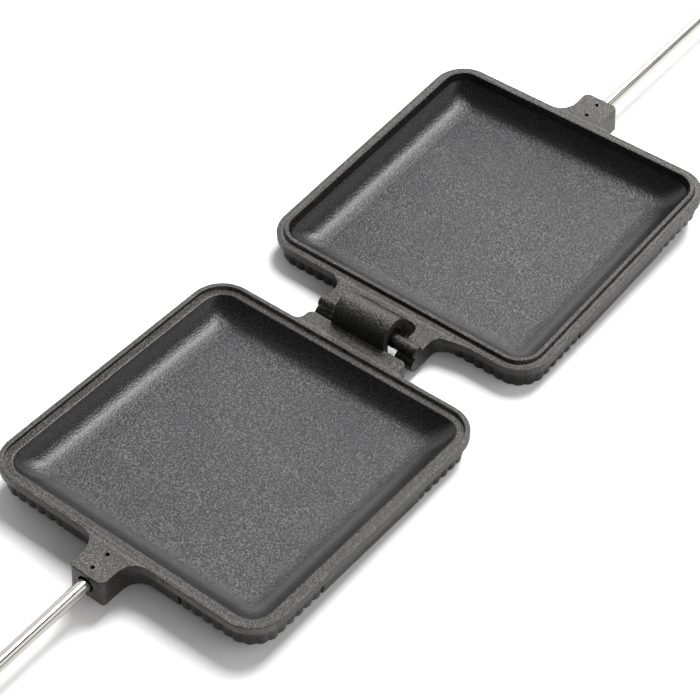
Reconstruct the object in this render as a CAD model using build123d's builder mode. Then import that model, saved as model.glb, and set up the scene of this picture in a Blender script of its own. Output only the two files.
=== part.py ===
from build123d import *
import os
from math import atan2, cos, degrees, hypot, radians, sin, tan

os.makedirs("parts", exist_ok=True)

# A pie iron: two square cast-iron pans on long steel rods with wooden grips.  One pan carries a
# hook, the other a round bar, and the bar sits in the hook as the hinge.  The iron lies open on
# its back: x runs from the hook half to the bar half, z is up, the hinge axis is over the origin.

# ---- pans (each drawn about its own centre, rim plane at z = 0, boss at -x, hinge at +x) ----
rim_side = 140.0
rim_corner = 15.0
cast_depth = 12.5
floor_thickness = 3.4
band_depth = 4.0
band_edge = 0.4
neck_inset = 1.2
wall_inset = 2.4
edge_round = 0.5

# ---- ribs round the corners of the pan wall, counted from where the corner begins ----
rib_radius = 3.6
rib_pitch = 5.05
rib_count = 5
corner_ribs = 4
rib_core_inset = 1.2

# ---- cavity: a cove that runs down to a flat floor ----
cove_run = 13.6
cove_start_angle = 6.0
cove_end_angle = 60.0
cove_sections = 6
floor_corner = 4.0

# ---- rims: a stepped rim on the hook half takes the tongue of the bar half ----
step_land = 2.25
step_depth = 1.7
step_ledge = 3.55
tongue_side_gap = 0.85
tongue_draft = 0.5
tongue_land = 1.8
tongue_top_gap = 0.1
tongue_wall_angle = 70.0
lip_round = 0.4

# ---- bosses for the rods ----
boss_run = 16.3
boss_half = 8.7
boss_corner = 3.0
boss_low_corner = 1.2
boss_flare = 8.0
boss_depth = 12.5
boss_draft = 0.3

# ---- hinge (runs are measured from the edge of the rim) ----
pivot_run = 14.6
closed_gap = 0.2
tilt = 2.63
bar_radius = 3.1
plate_half = 25.5
bar_round = 1.2
hook_plate_run = 7.6
hook_plate_depth = 6.5
hook_plate_corner = 3.0
hook_plate_root = 3.5
hook_setback = 0.4
hook_z = 3.2
hook_bar_gap = 1.05
hook_wall = 3.85
hook_half_width = 13.5
hook_tip_z = -2.6
hook_root_round = 1.0
hook_end_round = 0.6
bar_plate_depth = 8.5
bar_plate_neck_run = 3.2
bar_plate_flare = 13.5
bar_plate_low_flare = 8.5
bar_plate_short_flare = 5.0
bar_plate_fillet = 4.5
slot_run = 2.6
slot_side_gap = 2.8
slot_corner = 3.3
ear_out = 5.0
ear_in = 4.5
ear_top = -1.5
ear_slot_gap = 0.2
ear_corner = 3.2

# ---- rods, pins and handle fittings (starts are distances from the hinge axis) ----
rod_radius = 2.9
rod_fit = 0.05
rod_hold = 15.4
mouth_gap = 0.9
mouth_depth = 4.5
pin_radius = 0.9
pin_fit = 0.02
pin_tip_run = 4.5
pin_pitch = 8.0
pin_recess = 2.4
pin_floor = 1.2
grip_radius = 14.0
grip_end_radius = 12.0
grip_round = 1.6
collar_start = 571.0
collar_length = 5.0
collar_wall = 2.6
ferrule_length = 8.0
ferrule_front_wall = 3.8
ferrule_step = 0.6
ferrule_rim = 1.5
grip_length = 110.0
washer_thickness = 1.2
washer_wall = 5.2
nut_wall = 2.0
nut_height = 4.2
nut_dome_wall = 1.7
nut_dome_rise = 0.6
nut_bore_depth = 5.0

# ---- latch on the +y side of the grips ----
latch_run = 16.0
latch_seat_sink = 1.6
latch_seat_radius = 4.8
latch_spacer = 2.1
latch_thickness = 1.5
latch_half_width = 4.5
latch_eye_radius = 5.2
latch_tail = 10.0
latch_side_gap = 0.05
latch_turn_fit = 0.1
screw_radius = 1.7
screw_fit = 0.02
screw_depth = 8.0
screw_head_radius = 3.6
screw_head_height = 2.2
screw_head_round = 0.8
latch_washer_wall = 2.8
stud_radius = 2.0
stud_gap = 0.4
stud_flange_radius = 4.0
stud_flange_gap = 0.2
stud_head_gap = 0.4
stud_head_radius = 3.6
stud_head_height = 1.8
stud_head_round = 0.6

# ---- derived places ----
sin_tilt = sin(radians(tilt))
cos_tilt = cos(radians(tilt))
rim_half = rim_side / 2
cavity_floor = -(cast_depth - floor_thickness)
wall_height = cast_depth - band_depth
corner_start = rim_half - rim_corner
plain_half = corner_start - rib_count * rib_pitch
rib_center = rim_half - wall_inset - rib_radius
rib_top_radius = rib_radius + wall_inset - neck_inset
step_half = rim_half - step_land
hook_cavity_half = step_half - step_ledge
tongue_half = step_half - tongue_side_gap
tongue_top_half = tongue_half - tongue_draft
tongue_height = step_depth - tongue_top_gap
bar_cavity_half = tongue_top_half - tongue_land
boss_tip = rim_half + boss_run
pivot_reach = rim_half + pivot_run
foot_reach = pivot_reach - (rim_half - wall_inset)
pivot_height = (cast_depth + closed_gap / 2) * cos_tilt - foot_reach * sin_tilt
bar_z = closed_gap / 2
hook_plate_edge = rim_half + hook_plate_run
hook_x = pivot_reach - hook_setback
hook_inner = bar_radius + hook_bar_gap
hook_outer = hook_inner + hook_wall
bar_plate_neck = rim_half + bar_plate_neck_run
slot_far = rim_half + slot_run
slot_half = hook_half_width + slot_side_gap
ear_inner_y = slot_half + ear_slot_gap
hook_seat = Location((0, 0, pivot_height), (0, tilt, 0)) * Location((-pivot_reach, 0, -closed_gap / 2))
bar_seat = Location((0, 0, pivot_height), (0, -tilt, 0)) * Location(
    (pivot_reach, 0, -closed_gap / 2), (0, 0, 180)
)
rod_start = pivot_reach + boss_tip - rod_hold
mouth_radius = rod_radius + mouth_gap
pin_far = boss_tip - pin_tip_run
pin_near = pin_far - pin_pitch
pin_hole_depth = boss_depth - pin_floor
collar_radius = rod_radius + collar_wall
collar_end = collar_start + collar_length
ferrule_front_radius = rod_radius + ferrule_front_wall
ferrule_back_radius = grip_end_radius - ferrule_step
grip_start = collar_end + ferrule_length
grip_end = grip_start + grip_length
washer_radius = rod_radius + washer_wall
nut_start = grip_end + washer_thickness
rod_end = nut_start + nut_bore_depth
rod_axis = Axis((0, 0, grip_radius), (1, 0, 0))
latch_place = grip_start + latch_run
latch_seat_y = grip_radius - latch_seat_sink
latch_washer_y = latch_seat_y + latch_spacer
latch_plane_y = latch_washer_y + latch_side_gap
head_y = latch_plane_y + latch_thickness + latch_side_gap
latch_washer_radius = screw_radius + latch_washer_wall
stud_flange_y = latch_plane_y - stud_flange_gap
stud_head_y = latch_plane_y + latch_thickness + stud_head_gap


# ---- the cove's section: inset from the wall and share of the rise, from the top edge to the floor ----
def cove_point(share):
    low, high = radians(cove_start_angle), radians(cove_end_angle)
    angle = high - share * (high - low)
    inset = cove_run * (sin(high) - sin(angle)) / (sin(high) - sin(low))
    return inset, (cos(low) - cos(angle)) / (cos(low) - cos(high))


# ---- where the stud of the bar half stands, seen from the latch screw, with the iron shut ----
fold = radians(180 - 2 * tilt)
lift = grip_radius - pivot_height
stud_x = latch_place * cos(fold) - lift * sin(fold)
stud_z = latch_place * sin(fold) + lift * cos(fold)
latch_reach = hypot(stud_x + latch_place, stud_z - lift)
latch_swing = 180 - degrees(atan2(stud_z - lift, stud_x + latch_place))
print("pivot height", round(pivot_height, 6))
print("fold range", round(-2 * tilt, 3), round(180 - 2 * tilt, 3))
print("latch reach and swing", round(latch_reach, 3), round(latch_swing, 3))

# ---- pan blank, shared by both halves ----
with BuildPart() as pan_blank:
    with BuildSketch(Plane.XY.offset(-band_depth)):
        RectangleRounded(rim_side, rim_side, rim_corner)
    extrude(amount=band_depth)
    fillet(pan_blank.faces().sort_by(Axis.Z)[0].edges(), band_edge)
    # core of the wall behind the ribs
    core_low = wall_inset + rib_core_inset
    core_high = neck_inset + rib_core_inset
    with BuildSketch(Plane.XY.offset(-cast_depth)):
        RectangleRounded(rim_side - 2 * core_low, rim_side - 2 * core_low, rim_corner - core_low)
    with BuildSketch(Plane.XY.offset(-band_depth)):
        RectangleRounded(rim_side - 2 * core_high, rim_side - 2 * core_high, rim_corner - core_high)
    loft()
    # plain wall in the middle of each side, level with the crests of the ribs
    with BuildSketch(Plane.XY.offset(-cast_depth)):
        Rectangle(rim_side - 2 * wall_inset, 2 * plain_half)
        Rectangle(2 * plain_half, rim_side - 2 * wall_inset)
    with BuildSketch(Plane.XY.offset(-band_depth)):
        Rectangle(rim_side - 2 * neck_inset, 2 * plain_half)
        Rectangle(2 * plain_half, rim_side - 2 * neck_inset)
    loft()
    # upright ribs on the wall, on the ends of each side and round each corner
    for quarter in range(4):
        with Locations(Location((0, 0, -cast_depth), (0, 0, 90 * quarter))):
            for side in (-1, 1):
                for step in range(rib_count):
                    with Locations((rib_center, side * (corner_start - (step + 0.5) * rib_pitch))):
                        Cone(
                            rib_radius,
                            rib_top_radius,
                            wall_height,
                            align=(Align.CENTER, Align.CENTER, Align.MIN),
                        )
            with Locations((corner_start, corner_start)):
                with PolarLocations(
                    rib_center - corner_start, corner_ribs, start_angle=45.0 / corner_ribs, angular_range=90
                ):
                    Cone(
                        rib_radius,
                        rib_top_radius,
                        wall_height,
                        align=(Align.CENTER, Align.CENTER, Align.MIN),
                    )
    # boss: level with the rim, flared into the band, drafted below it
    with BuildSketch(Plane.XY.offset(-band_depth)) as boss_upper:
        with Locations((-boss_tip, 0)):
            Rectangle(boss_tip - rim_half + 4, 2 * boss_half, align=(Align.MIN, Align.CENTER))
        with Locations((-rim_half, 0)):
            Rectangle(4, 2 * (boss_half + boss_flare + 1), align=(Align.MIN, Align.CENTER))
        fillet(boss_upper.vertices().group_by(Axis.X)[0], boss_corner)
        fillet(
            boss_upper.vertices()
            .filter_by_position(Axis.X, -rim_half - 0.01, -rim_half + 0.01)
            .filter_by_position(Axis.Y, -boss_half - 0.01, boss_half + 0.01),
            boss_flare,
        )
    extrude(amount=band_depth)
    with BuildSketch(Plane.XY.offset(-boss_depth)) as boss_low:
        with Locations((-boss_tip + boss_draft, 0)):
            Rectangle(
                boss_tip - boss_draft - rim_half + wall_inset + 4,
                2 * (boss_half - boss_draft),
                align=(Align.MIN, Align.CENTER),
            )
        with Locations((-rim_half + wall_inset, 0)):
            Rectangle(4, 2 * (boss_half + boss_flare + 1), align=(Align.MIN, Align.CENTER))
        fillet(boss_low.vertices().group_by(Axis.X)[0], boss_low_corner)
        fillet(
            boss_low.vertices()
            .filter_by_position(Axis.X, -rim_half + wall_inset - 0.01, -rim_half + wall_inset + 0.01)
            .filter_by_position(Axis.Y, -boss_half - 0.01, boss_half + 0.01),
            boss_flare,
        )
    with BuildSketch(Plane.XY.offset(-band_depth)) as boss_mid:
        with Locations((-boss_tip, 0)):
            Rectangle(boss_tip - rim_half + neck_inset + 4, 2 * boss_half, align=(Align.MIN, Align.CENTER))
        with Locations((-rim_half + neck_inset, 0)):
            Rectangle(4, 2 * (boss_half + boss_flare + 1), align=(Align.MIN, Align.CENTER))
        fillet(boss_mid.vertices().group_by(Axis.X)[0], boss_corner)
        fillet(
            boss_mid.vertices()
            .filter_by_position(Axis.X, -rim_half + neck_inset - 0.01, -rim_half + neck_inset + 0.01)
            .filter_by_position(Axis.Y, -boss_half - 0.01, boss_half + 0.01),
            boss_flare,
        )
    loft()

# ---- the socket for the rod runs level with the table, so it slopes in the tilted pan ----
rod_plane = Plane(origin=(-rod_start, 0, grip_radius), x_dir=(0, 1, 0), z_dir=(-1, 0, 0))
socket_plane = Plane(hook_seat.inverse() * rod_plane.location)
mouth_plane = Plane(
    hook_seat.inverse() * rod_plane.offset(pivot_reach + boss_tip - mouth_depth - rod_start).location
)

# ---- the hook, bent over from the edge of its hinge plate ----
with BuildPart() as hook_blank:
    with BuildSketch(Plane.XZ):
        with BuildLine():
            Line((hook_x - hook_outer, -hook_plate_depth), (hook_x - hook_outer, hook_z))
            ThreePointArc(
                (hook_x - hook_outer, hook_z), (hook_x, hook_z + hook_outer), (hook_x + hook_outer, hook_z)
            )
            Line((hook_x + hook_outer, hook_z), (hook_x + hook_outer, hook_tip_z + hook_wall / 2))
            ThreePointArc(
                (hook_x + hook_outer, hook_tip_z + hook_wall / 2),
                (hook_x + hook_inner + hook_wall / 2, hook_tip_z),
                (hook_x + hook_inner, hook_tip_z + hook_wall / 2),
            )
            Line((hook_x + hook_inner, hook_tip_z + hook_wall / 2), (hook_x + hook_inner, hook_z))
            ThreePointArc(
                (hook_x + hook_inner, hook_z), (hook_x, hook_z + hook_inner), (hook_x - hook_inner, hook_z)
            )
            Line((hook_x - hook_inner, hook_z), (hook_x - hook_inner, -hook_plate_depth))
            Line((hook_x - hook_inner, -hook_plate_depth), (hook_x - hook_outer, -hook_plate_depth))
        make_face()
    extrude(amount=hook_half_width, both=True)
    fillet(hook_blank.faces().filter_by(Axis.Y).edges(), hook_end_round)

# ---- hook half, drawn flat about its own centre ----
with BuildPart() as hook_casting:
    add(pan_blank.part)
    with BuildSketch(Plane.XY.offset(-band_depth)) as hook_plate_upper:
        with Locations((hook_plate_edge, 0)):
            Rectangle(hook_plate_edge - rim_half + 4, 2 * plate_half, align=(Align.MAX, Align.CENTER))
        with Locations((rim_half, 0)):
            Rectangle(4, 2 * (plate_half + hook_plate_root + 1), align=(Align.MAX, Align.CENTER))
        fillet(hook_plate_upper.vertices().group_by(Axis.X)[-1], hook_plate_corner)
        fillet(
            hook_plate_upper.vertices()
            .filter_by_position(Axis.X, rim_half - 0.01, rim_half + 0.01)
            .filter_by_position(Axis.Y, -plate_half - 0.01, plate_half + 0.01),
            hook_plate_root,
        )
    extrude(amount=band_depth)
    with BuildSketch(Plane.XY.offset(-hook_plate_depth)) as hook_plate_low:
        with Locations((hook_plate_edge, 0)):
            Rectangle(hook_plate_edge - rim_half + 4, 2 * plate_half, align=(Align.MAX, Align.CENTER))
        fillet(hook_plate_low.vertices().group_by(Axis.X)[-1], hook_plate_corner)
    extrude(amount=hook_plate_depth - band_depth)
    fillet(hook_casting.faces().sort_by(Axis.Z)[-1].edges(), edge_round)
    # the step that takes the tongue, then the cavity
    with BuildSketch():
        RectangleRounded(2 * step_half, 2 * step_half, rim_corner - rim_half + step_half)
    extrude(amount=-step_depth, mode=Mode.SUBTRACT)
    hook_cove_rise = -step_depth - cavity_floor
    for section in range(cove_sections + 1):
        inset, rise = cove_point(section / cove_sections)
        edge_corner = rim_corner - rim_half + hook_cavity_half
        corner = edge_corner + (floor_corner - edge_corner) * inset / cove_run
        with BuildSketch(Plane.XY.offset(cavity_floor + rise * hook_cove_rise)):
            RectangleRounded(2 * (hook_cavity_half - inset), 2 * (hook_cavity_half - inset), corner)
    loft(mode=Mode.SUBTRACT)
    fillet(
        hook_casting.edges()
        .filter_by_position(Axis.Z, -0.01, 0.01)
        .filter_by(lambda edge: edge.bounding_box().max.X < step_half + 0.1)
        .filter_by(lambda edge: edge.bounding_box().min.X > -step_half - 0.1)
        .filter_by(lambda edge: abs(edge.center().Y) < step_half + 0.1),
        lip_round,
    )
    add(hook_blank.part)
    fillet(
        hook_casting.edges()
        .filter_by(Axis.Y)
        .filter_by_position(Axis.X, hook_x - hook_outer - 0.01, hook_x - hook_outer + 0.01)
        .filter_by_position(Axis.Z, -0.01, 0.01),
        hook_root_round,
    )
    with BuildSketch(socket_plane):
        Circle(rod_radius + rod_fit)
    extrude(amount=40, mode=Mode.SUBTRACT)
    with BuildSketch(mouth_plane):
        Circle(mouth_radius)
    extrude(amount=20, mode=Mode.SUBTRACT)
    with Locations((-pin_near, 0, 0), (-pin_far, 0, 0)):
        Hole(pin_radius + pin_fit, pin_hole_depth)

with BuildPart() as hook_half:
    with Locations(hook_seat):
        add(hook_casting.part)
hook_half.part.label = "hook_half"
export_step(hook_half.part, "parts/hook_half.step")

# ---- the hinge bar with rounded ends ----
with BuildPart() as bar_blank:
    with Locations(Location((pivot_reach, 0, bar_z), (90, 0, 0))):
        Cylinder(bar_radius, 2 * plate_half)
    fillet(bar_blank.faces().filter_by(Axis.Y).edges(), bar_round)

# ---- bar half, drawn flat about its own centre ----
with BuildPart() as bar_casting:
    add(pan_blank.part)
    with BuildSketch(Plane.XY.offset(-band_depth)) as bar_plate_upper:
        with BuildLine():
            Polyline(
                (rim_half - 4, -plate_half - bar_plate_short_flare),
                (rim_half, -plate_half - bar_plate_short_flare),
                (bar_plate_neck, -plate_half),
                (pivot_reach, -plate_half),
                (pivot_reach, plate_half),
                (bar_plate_neck, plate_half),
                (rim_half, plate_half + bar_plate_flare),
                (rim_half - 4, plate_half + bar_plate_flare),
                close=True,
            )
        make_face()
        fillet(
            bar_plate_upper.vertices().filter_by_position(
                Axis.X, bar_plate_neck - 0.01, bar_plate_neck + 0.01
            ),
            bar_plate_fillet,
        )
    extrude(amount=band_depth)
    with BuildSketch(Plane.XY.offset(-bar_plate_depth)) as bar_plate_low:
        with BuildLine():
            Polyline(
                (rim_half - 4, -plate_half - bar_plate_short_flare),
                (rim_half - neck_inset, -plate_half - bar_plate_short_flare),
                (bar_plate_neck, -plate_half),
                (pivot_reach, -plate_half),
                (pivot_reach, plate_half),
                (bar_plate_neck, plate_half),
                (rim_half - neck_inset, plate_half + bar_plate_low_flare),
                (rim_half - 4, plate_half + bar_plate_low_flare),
                close=True,
            )
        make_face()
        fillet(
            bar_plate_low.vertices().filter_by_position(
                Axis.X, bar_plate_neck - 0.01, bar_plate_neck + 0.01
            ),
            bar_plate_fillet,
        )
    extrude(amount=bar_plate_depth - band_depth)
    with BuildSketch() as slot:
        with Locations((slot_far, 0)):
            Rectangle(pivot_reach - slot_far + 1, 2 * slot_half, align=(Align.MIN, Align.CENTER))
        fillet(slot.vertices().group_by(Axis.X)[0], slot_corner)
    extrude(amount=-(bar_plate_depth + 1), mode=Mode.SUBTRACT)
    top_outline = bar_casting.faces().sort_by(Axis.Z)[-1].outer_wire().edges()
    fillet(
        top_outline.filter_by_position(Axis.X, -boss_tip - 1, pivot_reach - 0.5), edge_round
    )
    # the tongue, then the cavity through it
    with BuildSketch():
        RectangleRounded(2 * tongue_half, 2 * tongue_half, rim_corner - rim_half + tongue_half)
    with BuildSketch(Plane.XY.offset(tongue_height)):
        RectangleRounded(
            2 * tongue_top_half, 2 * tongue_top_half, rim_corner - rim_half + tongue_top_half
        )
    loft()
    upper_run = (tongue_height + step_depth) / tan(radians(tongue_wall_angle))
    bar_cove_half = bar_cavity_half - upper_run
    edge_corner = rim_corner - rim_half + bar_cavity_half
    with BuildSketch(Plane.XY.offset(tongue_height)):
        RectangleRounded(2 * bar_cavity_half, 2 * bar_cavity_half, edge_corner)
    with BuildSketch(Plane.XY.offset(-step_depth)):
        RectangleRounded(2 * bar_cove_half, 2 * bar_cove_half, edge_corner - upper_run)
    loft(mode=Mode.SUBTRACT)
    bar_cove_rise = -step_depth - cavity_floor
    for section in range(cove_sections + 1):
        inset, rise = cove_point(section / cove_sections)
        edge_corner = rim_corner - rim_half + bar_cove_half
        corner = edge_corner + (floor_corner - edge_corner) * inset / cove_run
        with BuildSketch(Plane.XY.offset(cavity_floor + rise * bar_cove_rise)):
            RectangleRounded(2 * (bar_cove_half - inset), 2 * (bar_cove_half - inset), corner)
    loft(mode=Mode.SUBTRACT)
    fillet(bar_casting.faces().sort_by(Axis.Z)[-1].edges(), lip_round)
    # ears under the ends of the bar
    for side in (-1, 1):
        with BuildSketch(Plane.XZ.offset(side * (ear_inner_y + plate_half) / 2)) as ear:
            with Locations((pivot_reach + (ear_out - ear_in) / 2, (ear_top - bar_plate_depth) / 2)):
                RectangleRounded(ear_out + ear_in, bar_plate_depth + ear_top, ear_corner)
        extrude(amount=(plate_half - ear_inner_y) / 2, both=True)
    add(bar_blank.part)
    with BuildSketch(socket_plane):
        Circle(rod_radius + rod_fit)
    extrude(amount=40, mode=Mode.SUBTRACT)
    with BuildSketch(mouth_plane):
        Circle(mouth_radius)
    extrude(amount=20, mode=Mode.SUBTRACT)
    with Locations((-pin_near, 0, 0), (-pin_far, 0, 0)):
        Hole(pin_radius + pin_fit, pin_hole_depth)

with BuildPart() as bar_half:
    with Locations(bar_seat):
        add(bar_casting.part)
bar_half.part.label = "bar_half"
export_step(bar_half.part, "parts/bar_half.step")

# ---- rods, cross-drilled for the pins ----
with BuildPart() as hook_rod:
    with BuildSketch(Plane.YZ.offset(-rod_end)):
        with Locations((0, grip_radius)):
            Circle(rod_radius)
    extrude(amount=rod_end - rod_start)
    with Locations(hook_seat):
        with Locations((-pin_near, 0, 0), (-pin_far, 0, 0)):
            Hole(pin_radius + pin_fit, pin_hole_depth)
hook_rod.part.label = "hook_rod"
export_step(hook_rod.part, "parts/hook_rod.step")

with BuildPart() as bar_rod:
    mirror(hook_rod.part, about=Plane.YZ)
bar_rod.part.label = "bar_rod"
export_step(bar_rod.part, "parts/bar_rod.step")

# ---- pins through boss and rod, driven below the top face ----
with BuildPart() as hook_pin_inner:
    with Locations(hook_seat):
        with Locations((-pin_near, 0, -pin_recess)):
            Cylinder(
                pin_radius, pin_hole_depth - pin_recess, align=(Align.CENTER, Align.CENTER, Align.MAX)
            )
hook_pin_inner.part.label = "hook_pin_inner"
export_step(hook_pin_inner.part, "parts/hook_pin_inner.step")

with BuildPart() as hook_pin_outer:
    with Locations(hook_seat):
        with Locations((-pin_far, 0, -pin_recess)):
            Cylinder(
                pin_radius, pin_hole_depth - pin_recess, align=(Align.CENTER, Align.CENTER, Align.MAX)
            )
hook_pin_outer.part.label = "hook_pin_outer"
export_step(hook_pin_outer.part, "parts/hook_pin_outer.step")

with BuildPart() as bar_pin_inner:
    mirror(hook_pin_inner.part, about=Plane.YZ)
bar_pin_inner.part.label = "bar_pin_inner"
export_step(bar_pin_inner.part, "parts/bar_pin_inner.step")

with BuildPart() as bar_pin_outer:
    mirror(hook_pin_outer.part, about=Plane.YZ)
bar_pin_outer.part.label = "bar_pin_outer"
export_step(bar_pin_outer.part, "parts/bar_pin_outer.step")

# ---- stop collars ahead of the grips ----
with BuildPart() as hook_collar:
    with BuildSketch(Plane.YZ.offset(-collar_end)):
        with Locations((0, grip_radius)):
            Circle(collar_radius)
            Circle(rod_radius + rod_fit, mode=Mode.SUBTRACT)
    extrude(amount=collar_length)
    chamfer(hook_collar.edges().group_by(Axis.X)[-1].sort_by(SortBy.RADIUS)[-1], 0.6)
hook_collar.part.label = "hook_collar"
export_step(hook_collar.part, "parts/hook_collar.step")

with BuildPart() as bar_collar:
    mirror(hook_collar.part, about=Plane.YZ)
bar_collar.part.label = "bar_collar"
export_step(bar_collar.part, "parts/bar_collar.step")

# ---- ferrules, turned cones between collar and grip ----
with BuildPart() as hook_ferrule:
    with BuildSketch(Plane.XZ):
        with BuildLine():
            Polyline(
                (-collar_end, grip_radius + rod_radius + rod_fit),
                (-collar_end, grip_radius + ferrule_front_radius),
                (-grip_start + ferrule_rim, grip_radius + ferrule_back_radius),
                (-grip_start, grip_radius + ferrule_back_radius),
                (-grip_start, grip_radius + rod_radius + rod_fit),
                close=True,
            )
        make_face()
    revolve(axis=rod_axis)
hook_ferrule.part.label = "hook_ferrule"
export_step(hook_ferrule.part, "parts/hook_ferrule.step")

with BuildPart() as bar_ferrule:
    mirror(hook_ferrule.part, about=Plane.YZ)
bar_ferrule.part.label = "bar_ferrule"
export_step(bar_ferrule.part, "parts/bar_ferrule.step")

# ---- wooden grips, bored for the rod, with a spot face for the latch screw or the stud ----
with BuildPart() as hook_grip:
    with BuildSketch(Plane.XZ) as grip_profile:
        with BuildLine():
            Polyline(
                (-grip_start, grip_radius + grip_end_radius),
                (-grip_start, grip_radius + rod_radius + rod_fit),
                (-grip_end, grip_radius + rod_radius + rod_fit),
                (-grip_end, grip_radius + grip_end_radius),
            )
            ThreePointArc(
                (-grip_end, grip_radius + grip_end_radius),
                (-(grip_start + grip_end) / 2, 2 * grip_radius),
                (-grip_start, grip_radius + grip_end_radius),
            )
        make_face()
        fillet(
            grip_profile.vertices().filter_by_position(
                Axis.Y, grip_radius + grip_end_radius - 0.01, grip_radius + grip_end_radius + 0.01
            ),
            grip_round,
        )
    revolve(axis=rod_axis)
    with BuildSketch(Plane((-latch_place, latch_seat_y, grip_radius), x_dir=(1, 0, 0), z_dir=(0, 1, 0))):
        Circle(latch_seat_radius)
    extrude(amount=10, mode=Mode.SUBTRACT)
    with BuildSketch(Plane((-latch_place, latch_seat_y, grip_radius), x_dir=(1, 0, 0), z_dir=(0, 1, 0))):
        Circle(screw_radius + screw_fit)
    extrude(amount=-screw_depth, mode=Mode.SUBTRACT)
hook_grip.part.label = "hook_grip"
export_step(hook_grip.part, "parts/hook_grip.step")

with BuildPart() as bar_grip:
    mirror(hook_grip.part, about=Plane.YZ)
bar_grip.part.label = "bar_grip"
export_step(bar_grip.part, "parts/bar_grip.step")

# ---- end washers ----
with BuildPart() as hook_end_washer:
    with BuildSketch(Plane.YZ.offset(-nut_start)):
        with Locations((0, grip_radius)):
            Circle(washer_radius)
            Circle(rod_radius + rod_fit, mode=Mode.SUBTRACT)
    extrude(amount=washer_thickness)
hook_end_washer.part.label = "hook_end_washer"
export_step(hook_end_washer.part, "parts/hook_end_washer.step")

with BuildPart() as bar_end_washer:
    mirror(hook_end_washer.part, about=Plane.YZ)
bar_end_washer.part.label = "bar_end_washer"
export_step(bar_end_washer.part, "parts/bar_end_washer.step")

# ---- acorn nuts on the rod ends ----
with BuildPart() as hook_nut:
    with BuildSketch(Plane.YZ.offset(-nut_start)):
        with Locations((0, grip_radius)):
            RegularPolygon(rod_radius + nut_wall, 6, major_radius=False)
    extrude(amount=-nut_height)
    with Locations((-nut_start - nut_height - nut_dome_rise, 0, grip_radius)):
        Sphere(rod_radius + nut_dome_wall)
    with BuildSketch(Plane.YZ.offset(-nut_start + 6)):
        with Locations((0, grip_radius)):
            Circle(2 * (rod_radius + nut_wall))
    extrude(amount=-6, mode=Mode.SUBTRACT)
    with BuildSketch(Plane.YZ.offset(-nut_start)):
        with Locations((0, grip_radius)):
            Circle(rod_radius + rod_fit)
    extrude(amount=-nut_bore_depth, mode=Mode.SUBTRACT)
hook_nut.part.label = "hook_nut"
export_step(hook_nut.part, "parts/hook_nut.step")

with BuildPart() as bar_nut:
    mirror(hook_nut.part, about=Plane.YZ)
bar_nut.part.label = "bar_nut"
export_step(bar_nut.part, "parts/bar_nut.step")

# ---- latch: a flat steel strip on a screw, with a side notch that catches the stud ----
with BuildPart() as latch:
    with BuildSketch(
        Plane((-latch_place, latch_plane_y, grip_radius), x_dir=(-1, 0, 0), z_dir=(0, 1, 0))
    ) as latch_profile:
        Circle(latch_eye_radius)
        Rectangle(
            latch_reach + latch_tail - latch_half_width,
            2 * latch_half_width,
            align=(Align.MIN, Align.CENTER),
        )
        with Locations((latch_reach + latch_tail - latch_half_width, 0)):
            Circle(latch_half_width)
        with Locations((latch_reach, 0)):
            Circle(stud_radius + stud_gap, mode=Mode.SUBTRACT)
            Rectangle(
                2 * (stud_radius + stud_gap),
                latch_half_width + 1,
                align=(Align.CENTER, Align.MIN),
                mode=Mode.SUBTRACT,
            )
        Circle(screw_radius + latch_turn_fit, mode=Mode.SUBTRACT)
    extrude(amount=latch_thickness)
latch.part.label = "latch"
export_step(latch.part, "parts/latch.step")

# ---- spacer washer between grip and latch ----
with BuildPart() as latch_washer:
    with BuildSketch(Plane((-latch_place, latch_seat_y, grip_radius), x_dir=(1, 0, 0), z_dir=(0, 1, 0))):
        Circle(latch_washer_radius)
        Circle(screw_radius + screw_fit, mode=Mode.SUBTRACT)
    extrude(amount=latch_spacer)
latch_washer.part.label = "latch_washer"
export_step(latch_washer.part, "parts/latch_washer.step")

# ---- round-headed screw the latch turns on ----
with BuildPart() as latch_screw:
    with BuildSketch(
        Plane((-latch_place, latch_seat_y - screw_depth, grip_radius), x_dir=(1, 0, 0), z_dir=(0, 1, 0))
    ):
        Circle(screw_radius)
    extrude(amount=head_y - latch_seat_y + screw_depth)
    with BuildSketch(Plane((-latch_place, head_y, grip_radius), x_dir=(1, 0, 0), z_dir=(0, 1, 0))):
        Circle(screw_head_radius)
    extrude(amount=screw_head_height)
    fillet(latch_screw.faces().sort_by(Axis.Y)[-1].edges(), screw_head_round)
latch_screw.part.label = "latch_screw"
export_step(latch_screw.part, "parts/latch_screw.step")

# ---- shouldered stud on the other grip ----
with BuildPart() as latch_stud:
    with BuildSketch(
        Plane((latch_place, latch_seat_y - screw_depth, grip_radius), x_dir=(1, 0, 0), z_dir=(0, 1, 0))
    ):
        Circle(screw_radius)
    extrude(amount=screw_depth)
    with BuildSketch(Plane((latch_place, latch_seat_y, grip_radius), x_dir=(1, 0, 0), z_dir=(0, 1, 0))):
        Circle(stud_flange_radius)
    extrude(amount=stud_flange_y - latch_seat_y)
    with BuildSketch(Plane((latch_place, stud_flange_y, grip_radius), x_dir=(1, 0, 0), z_dir=(0, 1, 0))):
        Circle(stud_radius)
    extrude(amount=stud_head_y - stud_flange_y)
    with BuildSketch(Plane((latch_place, stud_head_y, grip_radius), x_dir=(1, 0, 0), z_dir=(0, 1, 0))):
        Circle(stud_head_radius)
    extrude(amount=stud_head_height)
    fillet(latch_stud.faces().sort_by(Axis.Y)[-1].edges(), stud_head_round)
latch_stud.part.label = "latch_stud"
export_step(latch_stud.part, "parts/latch_stud.step")
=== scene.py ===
import bpy
from mathutils import Matrix, Vector

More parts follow.
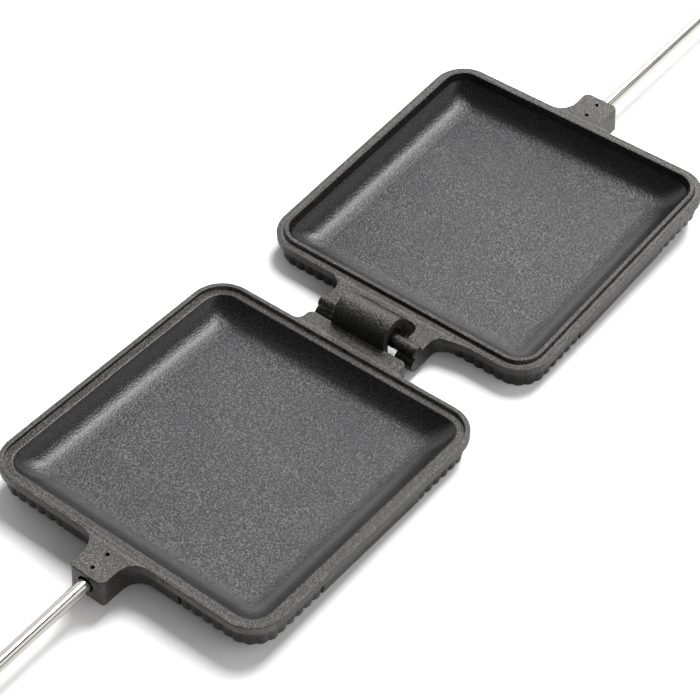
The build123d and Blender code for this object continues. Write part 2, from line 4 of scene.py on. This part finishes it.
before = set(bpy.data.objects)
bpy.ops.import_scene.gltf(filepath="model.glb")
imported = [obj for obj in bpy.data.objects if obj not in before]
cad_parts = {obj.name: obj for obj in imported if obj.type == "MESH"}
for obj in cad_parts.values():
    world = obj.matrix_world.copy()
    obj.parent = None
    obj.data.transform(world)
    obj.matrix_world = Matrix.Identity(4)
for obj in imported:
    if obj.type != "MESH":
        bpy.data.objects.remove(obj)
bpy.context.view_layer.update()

scene = bpy.context.scene
scene.view_settings.view_transform = "Standard"

# ---------------------------------------------------------------- named values
MM = 0.001                 # in metres
BLACK, WHITE = (0, 0, 0), (1, 1, 1)

# the iron's landmarks; the pans' corners are rounded
PAN_REACH = 84.6 * MM      # centre of each pan from the hinge axis
CORNER_START = 55.0 * MM   # where the corners begin to round, from the pan's centre
COVE_START = 51.0 * MM     # where the floor begins to rise
CAVITY_HALF = 64.2 * MM    # where the cove meets the rim
STEP_HALF = 67.7 * MM      # edge of the step in the rim
RIM_HALF = 70.0 * MM       # outer edge of the rim
BOSS_START = 153.0 * MM    # where the bosses begin, from the hinge axis

# a colour ramp runs from 0 to 1, so lengths in metres are scaled before they enter one
PAN_RAMP = 10.0            # distances within a pan
BOSS_RAMP = 5.0            # distances from the hinge axis
FLOOR_RAMP = 0.5           # distances over the studio floor

FLOOR_SIZE = 8.0           # edge of the studio floor, in metres
FADE_START = 0.8           # where the floor begins to fade to the white of the backdrop
FADE_END = 1.2             # where it is all white
MIRRORED_FLOOR = 0.45      # share of the lifted floor that gloss on the object shows

ROOM_LIGHT = 0.15          # strength of the dim room round the object
BACKDROP_WAY = (0.77, 0.63, -0.12)   # the direction from the object to the white backdrop
BACKDROP_FULL = 0.45       # how far a mirrored ray must point that way to be all white

# each lamp is a rectangle that faces the origin: name, place and size in metres, power in watts
LAMPS = (
    # one softbox above and a little behind
    ("key", (1.62, 0.09, 2.55), (1.30, 1.80), 80.0),
    # a lower, longer one behind the object, which the near coves catch
    ("low", (2.30, 1.90, 0.92), (3.00, 1.00), 13.0),
    # a pale wall to the right of the camera
    ("bounce", (0.60, -2.40, 1.50), (3.60, 1.80), 22.0),
)

SENSOR_WIDTH = 36.0        # camera sensor, in millimetres
IMAGE_WIDTH = 700.0        # width of the picture, in pixels
FOCAL_LENGTH = 2221.4      # focal length, in pixels
CLIP_END = 20.0            # the camera's furthest distance, in metres
# the halves are hooked together here and lay apart in the view that is matched, so each pan
# asks for a camera of its own, and this one stands midway
CAMERA_PLACE = (-490.95, -399.20, 671.10)   # what the pan at -X asks for, in millimetres
CAMERA_SHIFT = (-8.9 * MM, 1.3 * MM, 0)     # half of the way to what the pan at +X asks for


# ---------------------------------------------------------------- node helpers
def new_material(name):
    """An empty material with its node tree and its shader."""
    mat = bpy.data.materials.new(name)
    mat.use_nodes = True
    tree = mat.node_tree
    return mat, tree, tree.nodes["Principled BSDF"]


def node(tree, kind, **values):
    """A new node; each value goes to the socket or the setting of that name."""
    made = tree.nodes.new(kind)
    for key, value in values.items():
        if key in made.inputs:
            made.inputs[key].default_value = value
        else:
            setattr(made, key, value)
    return made


def texture_coordinates(tree, kind="Object"):
    return node(tree, "ShaderNodeTexCoord").outputs[kind]


def stretched(tree, coords, scale):
    """The coordinates, scaled by a different number along each axis."""
    made = node(tree, "ShaderNodeMapping", Scale=scale)
    tree.links.new(coords, made.inputs["Vector"])
    return made.outputs[0]


def ramp(tree, source, stops, interpolation="LINEAR"):
    """A colour ramp; each stop is its place and a colour or one grey level."""
    made = tree.nodes.new("ShaderNodeValToRGB")
    made.color_ramp.interpolation = interpolation
    elements = made.color_ramp.elements
    while len(elements) < len(stops):
        elements.new(0.5)
    for element, (place, colour) in zip(elements, stops):
        element.position = place
        element.color = (*colour, 1.0) if isinstance(colour, tuple) else (colour, colour, colour, 1.0)
    tree.links.new(source, made.inputs["Fac"])
    return made.outputs["Color"]


def noise(tree, coords, scale, detail, roughness, distortion=0.0):
    made = node(tree, "ShaderNodeTexNoise", Scale=scale, Detail=detail, Roughness=roughness,
                Distortion=distortion)
    tree.links.new(coords, made.inputs["Vector"])
    return made.outputs["Fac"]


def bump(tree, height, strength, distance, normal=None):
    made = node(tree, "ShaderNodeBump", Strength=strength, Distance=distance)
    tree.links.new(height, made.inputs["Height"])
    if normal is not None:
        tree.links.new(normal, made.inputs["Normal"])
    return made.outputs["Normal"]


def math_node(tree, operation, first, second=None):
    """One sum; each term is a number or the output of a node."""
    made = node(tree, "ShaderNodeMath", operation=operation)
    for place, value in enumerate((first, second)):
        if value is None:
            continue
        if isinstance(value, (int, float)):
            made.inputs[place].default_value = value
        else:
            tree.links.new(value, made.inputs[place])
    return made.outputs[0]


def mix_colour(tree, factor, first, second, blend="MIX"):
    """A blend of two colours; each term is a number, a colour or the output of a node."""
    made = node(tree, "ShaderNodeMix", data_type="RGBA", blend_type=blend)
    for key, value in (("Factor", factor), ("A", first), ("B", second)):
        if isinstance(value, (int, float)):
            made.inputs[key].default_value = value
        elif isinstance(value, tuple):
            made.inputs[key].default_value = (*value, 1.0)
        else:
            tree.links.new(value, made.inputs[key])
    return made.outputs["Result"]


# ---------------------------------------------------------------- materials
def pan_distance(tree, place_x, place_y):
    """Distance from the middle of the nearer pan, measured in squares with rounded corners."""
    def calc(operation, *terms):
        return math_node(tree, operation, *terms)

    off_x = calc("ABSOLUTE", calc("SUBTRACT", calc("ABSOLUTE", place_x), PAN_REACH))
    off_y = calc("ABSOLUTE", place_y)
    past_x = calc("MAXIMUM", calc("SUBTRACT", off_x, CORNER_START), 0.0)
    past_y = calc("MAXIMUM", calc("SUBTRACT", off_y, CORNER_START), 0.0)
    past = calc("SQRT", calc("ADD", calc("MULTIPLY", past_x, past_x),
                             calc("MULTIPLY", past_y, past_y)))
    square = calc("MINIMUM", calc("MAXIMUM", off_x, off_y), CORNER_START)
    return calc("MULTIPLY", calc("ADD", square, past), PAN_RAMP)


def cast_iron():
    """Sand-cast, seasoned iron: pimpled floors, smoother coves, browner outside with worn edges."""
    mat, tree, bsdf = new_material("seasoned_cast_iron")
    coords = texture_coordinates(tree)
    grain = noise(tree, coords, 1900.0, 2.0, 0.6)
    pimples = noise(tree, coords, 1100.0, 3.0, 0.6)
    speckle = math_node(tree, "MULTIPLY", math_node(tree, "ADD", grain, pimples), 0.5)
    sand = noise(tree, coords, 260.0, 3.0, 0.6)
    patches = noise(tree, coords, 34.0, 3.0, 0.6, 0.6)

    # masks: the cavity with its coves is only where the casting looks up
    apart = node(tree, "ShaderNodeSeparateXYZ")
    tree.links.new(coords, apart.inputs[0])
    facing = node(tree, "ShaderNodeSeparateXYZ")
    tree.links.new(texture_coordinates(tree, "Normal"), facing.inputs[0])
    looks_up = facing.outputs["Z"]
    underneath = ramp(tree, looks_up, [(0.0, WHITE), (0.01, BLACK)], "CONSTANT")
    reach = math_node(tree, "ADD", pan_distance(tree, apart.outputs["X"], apart.outputs["Y"]),
                      underneath)
    start, edge, step, rim = (PAN_RAMP * value
                              for value in (COVE_START, CAVITY_HALF, STEP_HALF, RIM_HALF))
    in_cove = ramp(tree, reach, [(start, BLACK), (start + 0.05, WHITE),
                                 (edge, WHITE), (edge + 0.005, BLACK)])
    outside = ramp(tree, reach, [(edge, BLACK), (edge + 0.005, WHITE)])
    worn = ramp(tree, reach, [(step - 0.006, BLACK), (step, WHITE), (step + 0.006, BLACK),
                              (rim - 0.008, BLACK), (rim, WHITE), (rim + 0.008, BLACK)])
    boss = BOSS_RAMP * BOSS_START
    from_hinge = math_node(tree, "ABSOLUTE", apart.outputs["X"])
    at_boss = ramp(tree, math_node(tree, "MULTIPLY", from_hinge, BOSS_RAMP),
                   [(boss, BLACK), (boss + 0.05, WHITE)])

    # colours: speckled inside, browner outside
    inner = ramp(tree, speckle, [(0.44, 0.003), (0.50, (0.011, 0.011, 0.012)),
                                 (0.57, (0.152, 0.154, 0.160))])
    outer = ramp(tree, speckle, [(0.40, (0.006, 0.0055, 0.005)), (0.50, (0.026, 0.024, 0.022)),
                                 (0.62, (0.150, 0.143, 0.132))])
    # a dusty brown film on the bosses, where no fat reaches
    dusty = ramp(tree, speckle, [(0.40, (0.018, 0.015, 0.012)), (0.50, (0.060, 0.053, 0.044)),
                                 (0.62, (0.230, 0.210, 0.180))])
    outer = mix_colour(tree, at_boss, outer, dusty)
    # painted light and shade: outside, faces that look up are painted lighter and the sides darker,
    # as if lit from above
    lit_tops_shaded_sides = ramp(tree, looks_up, [(0.6, 0.40), (0.95, 1.15)])
    outer = mix_colour(tree, 1.0, outer, lit_tops_shaded_sides, "MULTIPLY")
    colour = mix_colour(tree, outside, inner, outer)
    # painted shade: the coves are darkened towards near black
    colour = mix_colour(tree, math_node(tree, "MULTIPLY", in_cove, 0.85), colour,
                        (0.004, 0.0035, 0.005))
    tint = ramp(tree, patches, [(0.35, (0.80, 0.80, 0.82)), (0.65, (1.15, 1.12, 1.08))])
    colour = mix_colour(tree, 1.0, colour, tint, "MULTIPLY")
    # bare metal shows along the worn edges
    wear = math_node(tree, "MULTIPLY", worn, math_node(tree, "MULTIPLY", sand, 0.9))
    colour = mix_colour(tree, wear, colour, (0.26, 0.24, 0.21))
    tree.links.new(colour, bsdf.inputs["Base Color"])

    rough = ramp(tree, sand, [(0.3, 0.26), (0.7, 0.34)])
    rough = mix_colour(tree, in_cove, rough, (0.24, 0.24, 0.24))
    tree.links.new(rough, bsdf.inputs["Roughness"])
    bsdf.inputs["IOR"].default_value = 1.50

    # relief, calmer in the coves
    calm = math_node(tree, "SUBTRACT", 1.0, math_node(tree, "MULTIPLY", in_cove, 0.65))
    normal = None
    for texture, depth in ((sand, 0.16), (pimples, 0.38), (grain, 0.10)):
        normal = bump(tree, math_node(tree, "MULTIPLY", texture, calm), 1.0, depth * MM, normal)
    tree.links.new(normal, bsdf.inputs["Normal"])
    return mat


def plated_rod():
    """Bright-plated steel rod with faint drawing lines along it."""
    mat, tree, bsdf = new_material("plated_rod")
    coords = texture_coordinates(tree)
    lines = noise(tree, stretched(tree, coords, (6.0, 1400.0, 1400.0)), 1.0, 2.0, 0.5)
    clouds = noise(tree, coords, 90.0, 2.0, 0.5)
    colour = ramp(tree, lines, [(0.3, (0.52, 0.50, 0.46)), (0.7, (0.68, 0.66, 0.62))])
    tree.links.new(colour, bsdf.inputs["Base Color"])
    tree.links.new(ramp(tree, clouds, [(0.3, 0.09), (0.7, 0.17)]), bsdf.inputs["Roughness"])
    bsdf.inputs["Metallic"].default_value = 1.0
    tree.links.new(bump(tree, lines, 0.4, 0.02 * MM), bsdf.inputs["Normal"])
    return mat


def steel():
    """Turned steel fittings, finely brushed round their axis."""
    mat, tree, bsdf = new_material("fitting_steel")
    coords = texture_coordinates(tree)
    lines = noise(tree, stretched(tree, coords, (3000.0, 160.0, 160.0)), 1.0, 3.0, 0.6)
    stains = noise(tree, coords, 120.0, 3.0, 0.6)
    colour = ramp(tree, stains, [(0.3, (0.42, 0.41, 0.39)), (0.7, (0.60, 0.59, 0.57))])
    tree.links.new(colour, bsdf.inputs["Base Color"])
    tree.links.new(ramp(tree, lines, [(0.3, 0.24), (0.7, 0.42)]), bsdf.inputs["Roughness"])
    bsdf.inputs["Metallic"].default_value = 1.0
    tree.links.new(bump(tree, lines, 0.5, 0.02 * MM), bsdf.inputs["Normal"])
    return mat


def wood():
    """Lacquered hardwood with its grain along the handle."""
    mat, tree, bsdf = new_material("grip_wood")
    coords = texture_coordinates(tree)
    bands = noise(tree, stretched(tree, coords, (14.0, 150.0, 150.0)), 1.0, 4.0, 0.6, 0.8)
    pores = noise(tree, stretched(tree, coords, (60.0, 1600.0, 1600.0)), 1.0, 2.0, 0.5)
    colour = ramp(tree, bands, [(0.25, (0.19, 0.085, 0.035)), (0.5, (0.34, 0.17, 0.075)),
                                (0.75, (0.47, 0.27, 0.13))])
    dark = ramp(tree, pores, [(0.34, (0.45, 0.40, 0.36)), (0.46, WHITE)])
    tree.links.new(mix_colour(tree, 1.0, colour, dark, "MULTIPLY"), bsdf.inputs["Base Color"])
    tree.links.new(ramp(tree, pores, [(0.3, 0.55), (0.5, 0.34)]), bsdf.inputs["Roughness"])
    bsdf.inputs["Coat Weight"].default_value = 0.25
    bsdf.inputs["Coat Roughness"].default_value = 0.2
    tree.links.new(bump(tree, pores, 0.4, 0.05 * MM), bsdf.inputs["Normal"])
    return mat


iron = cast_iron()
rod_metal = plated_rod()
fitting = steel()
grip_wood = wood()

for name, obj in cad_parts.items():
    if name in ("hook_half", "bar_half") or "_pin_" in name:
        finish = iron
    elif name in ("hook_rod", "bar_rod"):
        finish = rod_metal
    elif name.endswith("_grip"):
        finish = grip_wood
    else:
        finish = fitting
    for slot in obj.material_slots:
        slot.material = finish


# ---------------------------------------------------------------- floor
def studio_white():
    """Pale floor that keeps the shadow; camera and gloss see it lifted, and white far away."""
    mat, tree, bsdf = new_material("studio_floor")
    tree.nodes.remove(bsdf)
    path = node(tree, "ShaderNodeLightPath")
    mirrored = math_node(tree, "MULTIPLY", path.outputs["Is Glossy Ray"], MIRRORED_FLOOR)
    shown = math_node(tree, "MAXIMUM", path.outputs["Is Camera Ray"], mirrored)

    pale = node(tree, "ShaderNodeBsdfDiffuse", Color=(0.80, 0.80, 0.80, 1))
    lift = node(tree, "ShaderNodeBsdfDiffuse", Color=(1.0, 0.99, 1.0, 1))
    lifted = node(tree, "ShaderNodeAddShader")
    tree.links.new(pale.outputs[0], lifted.inputs[0])
    tree.links.new(lift.outputs[0], lifted.inputs[1])
    near = node(tree, "ShaderNodeMixShader")
    tree.links.new(shown, near.inputs["Fac"])
    tree.links.new(pale.outputs[0], near.inputs[1])
    tree.links.new(lifted.outputs[0], near.inputs[2])

    away = node(tree, "ShaderNodeVectorMath", operation="LENGTH")
    tree.links.new(texture_coordinates(tree), away.inputs[0])
    far = ramp(tree, math_node(tree, "MULTIPLY", away.outputs["Value"], FLOOR_RAMP),
               [(FLOOR_RAMP * FADE_START, BLACK), (FLOOR_RAMP * FADE_END, WHITE)])
    white = node(tree, "ShaderNodeEmission", Strength=1.0)
    faded = node(tree, "ShaderNodeMixShader")
    tree.links.new(math_node(tree, "MULTIPLY", far, shown), faded.inputs["Fac"])
    tree.links.new(near.outputs[0], faded.inputs[1])
    tree.links.new(white.outputs[0], faded.inputs[2])
    tree.links.new(faded.outputs[0], tree.nodes["Material Output"].inputs["Surface"])
    return mat


bpy.ops.mesh.primitive_plane_add(size=FLOOR_SIZE, location=(0, 0, 0))
floor = bpy.context.object
floor.name = "studio_floor"
floor.data.materials.append(studio_white())

# ---------------------------------------------------------------- world and lamps
world = bpy.data.worlds.new("studio")
scene.world = world
world.use_nodes = True
sky = world.node_tree
background = sky.nodes["Background"]
background.inputs["Color"].default_value = (1.0, 1.0, 1.0, 1)
# gloss shows the white backdrop behind the object and the dim room in front; the camera sees white
towards = node(sky, "ShaderNodeVectorMath", operation="DOT_PRODUCT")
sky.links.new(texture_coordinates(sky, "Generated"), towards.inputs[0])
towards.inputs[1].default_value = BACKDROP_WAY
backdrop = ramp(sky, towards.outputs["Value"], [(0.0, ROOM_LIGHT), (BACKDROP_FULL, WHITE)])
ray = node(sky, "ShaderNodeLightPath")
strength = mix_colour(sky, ray.outputs["Is Glossy Ray"], (ROOM_LIGHT, ROOM_LIGHT, ROOM_LIGHT),
                      backdrop)
strength = mix_colour(sky, ray.outputs["Is Camera Ray"], strength, (1.0, 1.0, 1.0))
sky.links.new(strength, background.inputs["Strength"])

for name, place, size, power in LAMPS:
    lamp = bpy.data.lights.new(name, "AREA")
    lamp.shape = "RECTANGLE"
    lamp.size, lamp.size_y = size
    lamp.energy = power
    holder = bpy.data.objects.new(name, lamp)
    scene.collection.objects.link(holder)
    holder.location = place
    holder.rotation_euler = (-Vector(place)).to_track_quat("-Z", "Y").to_euler()

# ---------------------------------------------------------------- camera
camera_data = bpy.data.cameras.new("camera")
camera = bpy.data.objects.new("camera", camera_data)
scene.collection.objects.link(camera)
camera_data.sensor_width = SENSOR_WIDTH
camera_data.lens = SENSOR_WIDTH * FOCAL_LENGTH / IMAGE_WIDTH
camera_data.clip_end = CLIP_END
# the way that the camera looks; the other two directions are squared up from it
forward = Vector((0.53304, 0.43561, -0.72534)).normalized()
about_right = Vector((0.62148, -0.78331, -0.01370)).normalized()
up = about_right.cross(forward).normalized()
right = forward.cross(up).normalized()
turn = Matrix((right, up, -forward)).transposed().to_4x4()
eye = Vector(CAMERA_PLACE) * MM + Vector(CAMERA_SHIFT)
camera.matrix_world = Matrix.Translation(eye) @ turn
scene.camera = camera
